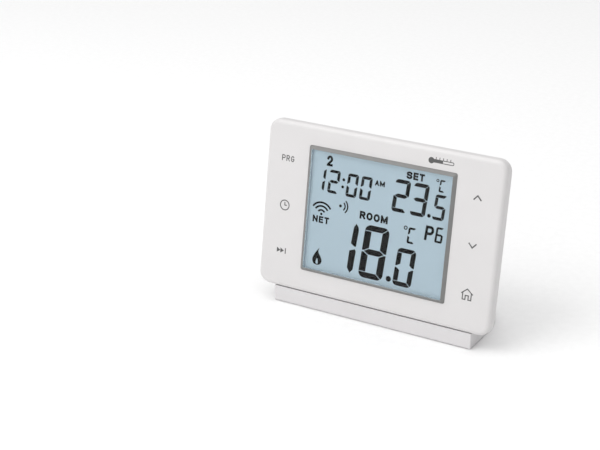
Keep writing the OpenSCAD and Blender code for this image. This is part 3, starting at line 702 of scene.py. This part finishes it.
def calc(tree, operation, first, second):
    """A sum on two numbers, each a socket or a plain value."""
    node = add(tree, "ShaderNodeMath", {"operation": operation})
    for i, value in enumerate((first, second)):
        if isinstance(value, (int, float)):
            node.inputs[i].default_value = value
        else:
            tree.links.new(value, node.inputs[i])
    return node.outputs[0]


def along_z(tree, height):
    return add(tree, "ShaderNodeCombineXYZ", links={"Z": height}).outputs[0]


def spring_tree():
    """Coil of round wire that narrows as it rises from the point."""
    tree, inputs = new_tree("coil_spring", {
        "First Radius": 0.003, "Last Radius": 0.002, "Height": 0.005, "Turns": 5.0,
        "Wire": 0.00035})
    spiral = add(tree, "GeometryNodeCurveSpiral", {"Resolution": 28}, {
        "Rotations": inputs["Turns"], "Start Radius": inputs["First Radius"],
        "End Radius": inputs["Last Radius"], "Height": inputs["Height"]})
    wire = add(tree, "GeometryNodeCurvePrimitiveCircle", {"Resolution": 8},
               {"Radius": inputs["Wire"]})
    swept = add(tree, "GeometryNodeCurveToMesh", {"Fill Caps": True},
                {"Curve": spiral.outputs[0], "Profile Curve": wire.outputs[0]})
    end_tree(tree, inputs, swept.outputs[0])
    return tree


# Shares of the shank's radius: its core and the ridge of its thread
CORE_SHARE = 0.84
RIDGE_SHARE = 0.16
# Shares of the shank's length: its threaded part and where the thread's end lies
THREAD_SHARE = 0.8
THREAD_END = 0.98
# Head: how late and how far its dome narrows, and its recess as shares of the head's radius
DOME_POWER = 2.6
DOME_DROP = 0.75
RECESS_LENGTH = 1.25
RECESS_WIDTH = 0.24


def screw_shank(tree, inputs):
    """The core and the thread of a screw, as two nodes."""
    core_r = calc(tree, "MULTIPLY", inputs["Shank Radius"], CORE_SHARE)
    thread_l = calc(tree, "MULTIPLY", inputs["Length"], THREAD_SHARE)
    core = add(tree, "GeometryNodeMeshCylinder", {"Vertices": 24}, {
        "Radius": core_r, "Depth": inputs["Length"]})
    core = add(tree, "GeometryNodeTransform", links={
        "Geometry": core.outputs["Mesh"],
        "Translation": along_z(tree, calc(tree, "MULTIPLY", inputs["Length"], -0.5))})
    ridge = add(tree, "GeometryNodeCurvePrimitiveCircle", {"Resolution": 4},
                {"Radius": calc(tree, "MULTIPLY", inputs["Shank Radius"], RIDGE_SHARE)})
    thread = add(tree, "GeometryNodeCurveSpiral", {"Resolution": 24}, {
        "Rotations": calc(tree, "DIVIDE", thread_l, inputs["Pitch"]),
        "Start Radius": core_r, "End Radius": core_r, "Height": thread_l})
    thread = add(tree, "GeometryNodeCurveToMesh", {"Fill Caps": True},
                 {"Curve": thread.outputs[0], "Profile Curve": ridge.outputs[0]})
    thread = add(tree, "GeometryNodeTransform", links={
        "Geometry": thread.outputs[0],
        "Translation": along_z(tree, calc(tree, "MULTIPLY", inputs["Length"], -THREAD_END))})
    return core, thread


def screw_head(tree, inputs):
    """A domed head with a cross recess cut into it."""
    height = along_z(tree, inputs["Head Height"])
    axis = add(tree, "GeometryNodeCurvePrimitiveLine", links={"End": height})
    axis = add(tree, "GeometryNodeResampleCurve", {"Count": 12}, {"Curve": axis.outputs[0]})
    share = add(tree, "GeometryNodeSplineParameter").outputs["Factor"]
    drop = calc(tree, "MULTIPLY", calc(tree, "POWER", share, DOME_POWER), DOME_DROP)
    size = calc(tree, "MULTIPLY", inputs["Head Radius"],
                calc(tree, "POWER", calc(tree, "SUBTRACT", 1.0, drop), 0.5))
    outline = add(tree, "GeometryNodeCurvePrimitiveCircle", {"Resolution": 40, "Radius": 1.0})
    head = add(tree, "GeometryNodeCurveToMesh", {"Fill Caps": True}, {
        "Curve": axis.outputs[0], "Profile Curve": outline.outputs[0], "Scale": size})
    recess = add(tree, "GeometryNodeMeshBoolean", {"operation": "DIFFERENCE", "solver": "EXACT"},
                 {"Mesh 1": head.outputs[0]})
    for across, up in ((RECESS_LENGTH, RECESS_WIDTH), (RECESS_WIDTH, RECESS_LENGTH)):
        box = add(tree, "ShaderNodeCombineXYZ", links={
            "X": calc(tree, "MULTIPLY", inputs["Head Radius"], across),
            "Y": calc(tree, "MULTIPLY", inputs["Head Radius"], up), "Z": inputs["Head Height"]})
        bar = add(tree, "GeometryNodeMeshCube", links={"Size": box.outputs[0]})
        bar = add(tree, "GeometryNodeTransform", links={
            "Geometry": bar.outputs["Mesh"], "Translation": height})
        tree.links.new(bar.outputs[0], recess.inputs["Mesh 2"])
    return add(tree, "GeometryNodeMergeByDistance", {"Distance": 0.001 * MM},
               {"Geometry": recess.outputs[0]})


def screw_tree():
    """Pan head screw with a cross recess and a rolled thread; its head's seat is at the point."""
    tree, inputs = new_tree("pan_head_screw", {
        "Shank Radius": 0.0012, "Length": 0.01, "Head Radius": 0.0025, "Head Height": 0.0018,
        "Pitch": 0.0009})
    whole = add(tree, "GeometryNodeJoinGeometry")
    for part in (*screw_shank(tree, inputs), screw_head(tree, inputs)):
        tree.links.new(part.outputs[0], whole.inputs[0])
    end_tree(tree, inputs, whole.outputs[0])
    return tree


# ---------------------------------------------------------------- operators


class THERMOSTAT_OT_covers(Operator):
    """Gives the covers, the battery door, the stand and its feet their moulded finishes"""

    bl_idname = "thermostat.covers"
    bl_label = "Covers and Stand"

    def execute(self, context):
        finish = context.scene.thermostat_finish
        give("front_cover", moulded_abs("satin_white_abs", finish.shell, finish.grain, 0.42,
                                        0.000006))
        rear = moulded_abs("textured_white_abs", finish.rear, finish.grain * 2, 0.55, 0.00002)
        give("rear_cover", rear)
        give("battery_door", rear)
        give("stand", moulded_abs("stand_white_abs", finish.stand, finish.grain, 0.45, 0.000008))
        give("stand_feet", speckled("foot_rubber", "5A5A5A", 0.75, 0.0008, 0.00004,
                                    Specular_IOR_Level=0.3))
        return {"FINISHED"}


class THERMOSTAT_OT_display(Operator):
    """Builds the display: field, frame, window, digits, words and icons"""

    bl_idname = "thermostat.display"
    bl_label = "Display"

    def execute(self, context):
        finish = context.scene.thermostat_finish
        display = context.scene.thermostat_display
        give("display_frame", painted_border(finish.border))
        give("display_lens", clear_acrylic())
        give("lcd_glass", display_field(finish.display, display.glow))
        segment_ink = ink("lcd_segment_black", finish.segment, 0.5, 0.05)
        level = face_level("lcd_glass", 1)
        film = display.film

        def on_glass(name, outlines, cuts=()):
            placed = [[[(x + display.shift, y) for x, y in outline] for outline in group]
                      for group in (outlines, cuts)]
            flat_piece(name, placed[0], level, film, segment_ink, "housing", placed[1])

        on_glass("display_digits", display_digits(display))
        on_glass("display_icons", display_icons(), [smooth_loop(FLAME_DROP)])
        on_glass("display_words", [line for text in DISPLAY_WORDS for line in word(*text)])
        return {"FINISHED"}


# Words of the display: text, left, right, low, high, line, gap
DISPLAY_WORDS = [
    ("2", -30.1, -26.7, 23.5, 28.9, 1.2, 0.0),
    ("AM", -2.5, 2.9, 18.5, 21.3, 0.68, 0.35),
    ("SET", 14.0, 23.7, 25.1, 28.8, 0.98, 0.5),
    ("ROOM", -9.3, 6.3, 0.4, 4.4, 1.05, 0.5),
    ("NET", -35.6, -26.2, -6.3, -2.8, 0.88, 0.65),
]
# Digits of the display: mark, x, y, width, height, upright, level, gap, gap at the middle
DISPLAY_DIGITS = [
    ("1", -36.55, 10.05, 5.9, 11.95, 1.4, 1.4, 0.12, 0.9),
    ("2", -28.75, 10.05, 6.1, 11.95, 1.52, 1.48, 0.12, 0.9),
    ("0", -18.35, 10.05, 6.0, 11.95, 1.52, 1.48, 0.12, 0.9),
    ("0", -10.7, 10.05, 6.0, 11.95, 1.52, 1.48, 0.12, 0.9),
    ("2", 7.45, 7.7, 8.2, 16.4, 2.05, 1.9, 0.15, 0.4),
    ("3", 17.55, 7.7, 8.1, 16.4, 2.05, 1.9, 0.15, 0.4),
    ("5", 29.5, 7.8, 6.1, 12.65, 1.55, 1.5, 0.12, 0.4),
    ("8", -7.5, -29.15, 13.5, 27.4, 3.7, 2.95, 0.28, 0.8),
    ("0", 11.75, -29.15, 10.15, 19.5, 2.6, 2.3, 0.24, 0.85),
    ("C", 31.5, 21.7, 3.0, 6.1, 0.85, 0.85, 0.0, 0.45),
    ("C", 17.35, -6.7, 4.1, 8.2, 1.08, 1.08, 0.0, 0.7),
    ("6", 31.95, -3.3, 4.0, 7.9, 1.05, 1.05, 0.0, 0.0),
]
# Dots of the display: centre and radius
DISPLAY_DOTS = [
    ((-19.8, 18.1), 0.78), ((-20.1, 14.4), 0.78), ((27.85, 9.15), 0.95), ((9.58, -26.8), 1.45),
]
# The tall figure one of the room temperature, as its upper and lower halves
TALL_ONE = [
    [(-10.58, -2.62), (-11.83, -4.7), (-12.8, -13.17), (-10.7, -14.55), (-9.87, -14.5),
     (-8.96, -5.96), (-9.17, -4.5)],
    [(-10.4, -15.83), (-13.33, -17.0), (-13.9, -25.96), (-12.2, -28.46), (-10.58, -26.4),
     (-9.67, -16.8)],
]
FLAME = [
    (-30.3, -19.4), (-30.75, -20.9), (-30.45, -22.2), (-29.3, -23.8), (-28.5, -25.8),
    (-29.3, -27.7), (-31.25, -28.4), (-33.2, -27.75), (-33.95, -25.7), (-33.1, -23.3),
    (-31.6, -20.9),
]
FLAME_DROP = [(-31.25, -24.9), (-30.65, -26.6), (-30.75, -27.7), (-31.7, -27.7), (-31.9, -26.6)]


def display_digits(display):
    """Outlines of every digit and dot of the display."""
    outlines = list(TALL_ONE)
    for mark in DISPLAY_DIGITS:
        outlines += digit(*mark, display.slant)
    outlines += [disc(*dot) for dot in DISPLAY_DOTS]
    outlines += letter("P", 26.4, 31.0, -3.15, 4.3, 1.35, math.tan(display.slant))
    outlines += ring((30.65, 27.15), 0.55, 0.42) + ring((16.25, 0.83), 0.78, 0.52)
    return outlines


def display_icons():
    """Outlines of the network fan, the radio waves and the flame."""
    fan = (-30.9, -1.74)
    waves = (-20.4, 4.6)
    outlines = [disc((fan[0], fan[1] + 0.14), 0.65), disc(waves, 0.78), smooth_loop(FLAME)]
    outlines += [band(fan, radius, 0.95, 34, 146) for radius in (2.14, 4.2, 6.07)]
    outlines += [band(waves, radius, 0.75, -48, 48) for radius in (2.6, 4.05)]
    return outlines


class THERMOSTAT_OT_key_marks(Operator):
    """Prints the six key marks and a small thermometer sign on the front cover"""

    bl_idname = "thermostat.key_marks"
    bl_label = "Key Marks"

    def execute(self, context):
        finish = context.scene.thermostat_finish
        film = context.scene.thermostat_display.film
        key_ink = ink("grey_pad_print", finish.ink, 0.55)
        flat_piece("key_marks", key_marks(), 0.0, film, key_ink, "housing")
        solids, cuts = thermometer((31.3, 36.9), 13.5)
        flat_piece("temperature_sign", solids, 0.0, film, key_ink, "housing", cuts)
        return {"FINISHED"}


def key_marks():
    """Outlines of the programme, clock, skip, up, down and house marks."""
    line = 0.52
    left, right = -52.4, 51.7
    outlines = word("PRG", left - 3.6, left + 3.6, 21.85, 24.95, 0.46, 0.6)
    clock = (left, -1.0)
    outlines += ring(clock, 2.55, line)
    outlines += stroke([(left, 0.65), clock, (left + 1.25, -1.0)], line)
    skip_y = -25.0
    for x in (left - 2.7, left - 0.6):
        outlines.append([(x, skip_y - 1.35), (x + 2.1, skip_y), (x, skip_y + 1.35)])
    outlines += stroke([(left + 2.35, skip_y - 1.5), (left + 2.35, skip_y + 1.5)], line)
    for y, way in ((22.75, RIGHT), (-0.65, LEFT)):
        outlines += stroke([(right - 2.0, y - way * 1.1), (right, y + way * 1.1),
                            (right + 2.0, y - way * 1.1)], line * 1.2)
    foot = -27.9
    outlines += stroke([(right - 3.05, foot + 3.1), (right, foot + 5.6),
                        (right + 3.05, foot + 3.1)], line)
    outlines += stroke([(right - 2.25, foot + 3.6), (right - 2.25, foot + 0.2),
                        (right - 0.8, foot + 0.2), (right - 0.8, foot + 2.3),
                        (right + 0.8, foot + 2.3), (right + 0.8, foot + 0.2),
                        (right + 2.25, foot + 0.2), (right + 2.25, foot + 3.6)], line)
    return outlines


def thermometer(centre, length):
    """Solids and cuts of a thermometer lying on its side: a full bulb, a tube, a scale."""
    line, bulb_r, tube_r = 0.36, 1.55, 0.85
    ticks, first_tick, tick_pitch, tick = 5, 2.4, 1.9, 1.1
    full = 0.55
    x0, y = centre[0] - length / 2 + bulb_r, centre[1] - 0.4
    x1 = centre[0] + length / 2 - tube_r

    def tube(radius):
        return [(x0, y - radius), (x1, y - radius)] + arc((x1, y), radius, -90, 90, 12) + [
            (x0, y + radius)]

    solids = [disc((x0, y), bulb_r), tube(tube_r)]
    for i in range(ticks):
        x = x0 + first_tick + i * tick_pitch
        solids += stroke([(x, y + tube_r), (x, y + tube_r + tick)], line)
    return solids, [clip(tube(tube_r - line), (x0 + full * (x1 - x0), y), (1, 0))]


class THERMOSTAT_OT_electronics(Operator):
    """Gives the board, its parts, the battery contacts and the cells their materials"""

    bl_idname = "thermostat.electronics"
    bl_label = "Electronics and Battery"

    def execute(self, context):
        green = solder_mask("green_solder_mask", "1E5A3A")
        nickel = metal("nickel_plate", "C9C5BC", 0.28)
        epoxy = speckled("moulded_epoxy", "1C1D1F", 0.55, 0.0006, 0.00001)
        for node in ("main_pcb", "radio_module"):
            give(node, green)
        give("wifi_module", solder_mask("blue_solder_mask", "1F3F66", 0.0012))
        for node in ("microcontroller", "lcd_driver", "voltage_regulator"):
            give(node, epoxy)
        for node in ("crystal", "usb_socket", "contact_bridge", "contact_positive",
                     "contact_negative"):
            give(node, nickel)
        give("radio_antenna", metal("drawn_copper_wire", "C98155", 0.3))
        give("capacitors", speckled("capacitor_sleeve", "20263F", 0.3, 0.001, 0.00001))
        give("room_sensor", speckled("dipped_epoxy_bead", "3A2418", 0.25, 0.001, 0.00002))
        give("backlight_panel", speckled("light_guide_acrylic", "E4EEF4", 0.15, 0.0015, 0.00002,
                                         0.03))
        give("backlight_leds", speckled("phosphor_resin", "E8DF8C", 0.3, 0.001, 0.00001))
        give("lcd_holder", speckled("white_polycarbonate", "EDEDE9", 0.45, 0.0006, 0.00001, 0.03))
        give("zebra_connector", speckled("conductive_silicone", "3B3C3E", 0.7, 0.0004, 0.00002))
        give("lead_positive", speckled("red_pvc", "A31512", 0.4, 0.001, 0.00001))
        give("lead_negative", speckled("black_pvc", "101010", 0.4, 0.001, 0.00001))
        jacket = cell_jacket()
        give("battery_lower", jacket)
        give("battery_upper", jacket)
        return {"FINISHED"}


# Screws: CAD node, pitch of the thread and height of the head, in millimetres
SCREWS = (("case_screws", 0.9, 1.8), ("pcb_screws", 0.7, 1.2))
# Touch springs: radius of the wire, radius of the last turn, both in millimetres, and turns
SPRING_WIRE, SPRING_END, SPRING_TURNS = 0.35, 2.2, 4.0
# Vertices nearer to each other than this belong to the same screw or spring, in millimetres
SCREW_REACH, SPRING_REACH = 6.0, 8.0


class THERMOSTAT_OT_fasteners(Operator):
    """Builds the case screws, the board's screws and the touch springs"""

    bl_idname = "thermostat.fasteners"
    bl_label = "Screws and Springs"

    def execute(self, context):
        zinc = metal("zinc_plate", "A9ABAE", 0.36)
        into_back = (math.pi, 0.0, 0.0)
        tilt = TO_FACE.to_3x3().normalized()
        turn = (tilt @ Euler(into_back).to_matrix()).to_euler()
        tree = screw_tree()
        for node, pitch, head_height in SCREWS:
            screws = copies(node, SCREW_REACH)
            low, high = span_of(screws[0], 2)
            seat = low + head_height
            head = [place for place in screws[0] if place.z < seat]
            shank = [place for place in screws[0] if place.z > high - 0.01]
            piece = repeated_piece(node + "_threaded", tree, {
                "Shank Radius": half_width(shank) * MM, "Length": (high - seat) * MM,
                "Head Radius": half_width(head) * MM, "Head Height": head_height * MM,
                "Pitch": pitch * MM, "Turn": turn}, centres(screws, seat), zinc, "housing")
            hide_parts(node)

        brass = metal("plated_spring_wire", "C9B88A", 0.32)
        springs = copies("touch_springs", SPRING_REACH)
        low, high = span_of(springs[0], 2)
        piece = repeated_piece("touch_spring_coils", spring_tree(), {
            "First Radius": (half_width(springs[0]) - SPRING_WIRE) * MM,
            "Last Radius": SPRING_END * MM, "Height": (high - low - 2 * SPRING_WIRE) * MM,
            "Turns": SPRING_TURNS, "Wire": SPRING_WIRE * MM, "Turn": turn},
            centres(springs, high - SPRING_WIRE), brass, "housing")
        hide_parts("touch_springs")
        return {"FINISHED"}


# Half the width of the floor and what the lights face, in metres
FLOOR_HALF = 4.0
LIT_POINT = Vector((0.0, 0.0, 0.045))


class THERMOSTAT_OT_stage(Operator):
    """Sets the floor, the soft lights and the camera"""

    bl_idname = "thermostat.stage"
    bl_label = "Stage"

    def execute(self, context):
        stage = context.scene.thermostat_stage
        floor_mesh = bpy.data.meshes.new("floor")
        floor_mesh.from_pydata(
            [(x * FLOOR_HALF, y * FLOOR_HALF, 0) for x, y in ((-1, -1), (1, -1), (1, 1), (-1, 1))],
            [], [(0, 1, 2, 3)])
        floor = bpy.data.objects.new("floor", floor_mesh)
        context.scene.collection.objects.link(floor)
        paper, tree, shader = principled("white_paper", Specular_IOR_Level=0.1)
        fibres = object_noise(tree, 0.004, 4.0)
        vary_colour(tree, shader, fibres.outputs["Fac"], linear("F4F4F4"), linear("F7F7F7"))
        vary_roughness(tree, shader, fibres.outputs["Fac"], 0.85, 0.95)
        floor_mesh.materials.append(paper)

        world = bpy.data.worlds.new("studio")
        context.scene.world = world
        world.use_nodes = True
        sky = world.node_tree.nodes["Background"]
        sky.inputs["Color"].default_value = linear("FFFFFF")
        sky.inputs["Strength"].default_value = stage.sky

        for name, place, size, power in (
                ("key_light", (-0.55, -0.75, 1.05), 0.9, stage.key_power),
                ("fill_light", (0.9, -0.55, 0.75), 0.9, stage.fill_power),
                ("low_light", (-0.35, -1.3, 0.35), 0.7, stage.low_power),
                ("top_light", (0.0, 0.0, 2.2), 3.0, stage.top_power)):
            self.soft_light(context, name, place, size, power)

        camera_data = bpy.data.cameras.new("camera")
        camera_data.lens = stage.lens
        camera_data.sensor_width = 36.0
        camera_data.clip_start = 0.01
        camera = bpy.data.objects.new("camera", camera_data)
        camera.location = stage.camera_place
        camera.rotation_euler = stage.camera_turn
        context.scene.collection.objects.link(camera)
        context.scene.camera = camera
        context.scene.view_settings.view_transform = "Standard"
        return {"FINISHED"}

    @staticmethod
    def soft_light(context, name, place, size, power):
        """A square area light that faces the thermostat."""
        data = bpy.data.lights.new(name, "AREA")
        data.shape = "SQUARE"
        data.size = size
        data.energy = power
        light = bpy.data.objects.new(name, data)
        light.location = place
        light.rotation_euler = (LIT_POINT - Vector(place)).to_track_quat("-Z", "Y").to_euler()
        context.scene.collection.objects.link(light)


class THERMOSTAT_PT_panel(Panel):
    """Lists the steps that build the thermostat's look"""

    bl_idname = "THERMOSTAT_PT_panel"
    bl_label = "Room Thermostat"
    bl_space_type = "VIEW_3D"
    bl_region_type = "UI"
    bl_category = "Thermostat"

    def draw(self, context):
        for group in (context.scene.thermostat_finish, context.scene.thermostat_display,
                      context.scene.thermostat_stage):
            for name in group.__annotations__:
                self.layout.prop(group, name)
        for step in STEPS:
            self.layout.operator(step.bl_idname)


STEPS = (THERMOSTAT_OT_stage, THERMOSTAT_OT_covers, THERMOSTAT_OT_display, THERMOSTAT_OT_key_marks,
         THERMOSTAT_OT_electronics, THERMOSTAT_OT_fasteners)
GROUPS = (ThermostatFinish, ThermostatDisplay, ThermostatStage)
CLASSES = GROUPS + STEPS + (THERMOSTAT_PT_panel,)


def register():
    for kind in CLASSES:
        bpy.utils.register_class(kind)
    bpy.types.Scene.thermostat_finish = PointerProperty(type=ThermostatFinish)
    bpy.types.Scene.thermostat_display = PointerProperty(type=ThermostatDisplay)
    bpy.types.Scene.thermostat_stage = PointerProperty(type=ThermostatStage)


def unregister():
    del bpy.types.Scene.thermostat_stage
    del bpy.types.Scene.thermostat_display
    del bpy.types.Scene.thermostat_finish
    for kind in reversed(CLASSES):
        bpy.utils.unregister_class(kind)


def main():
    register()
    for step in STEPS:
        group, action = step.bl_idname.split(".")
        getattr(getattr(bpy.ops, group), action)()


if __name__ == "__main__":
    main()
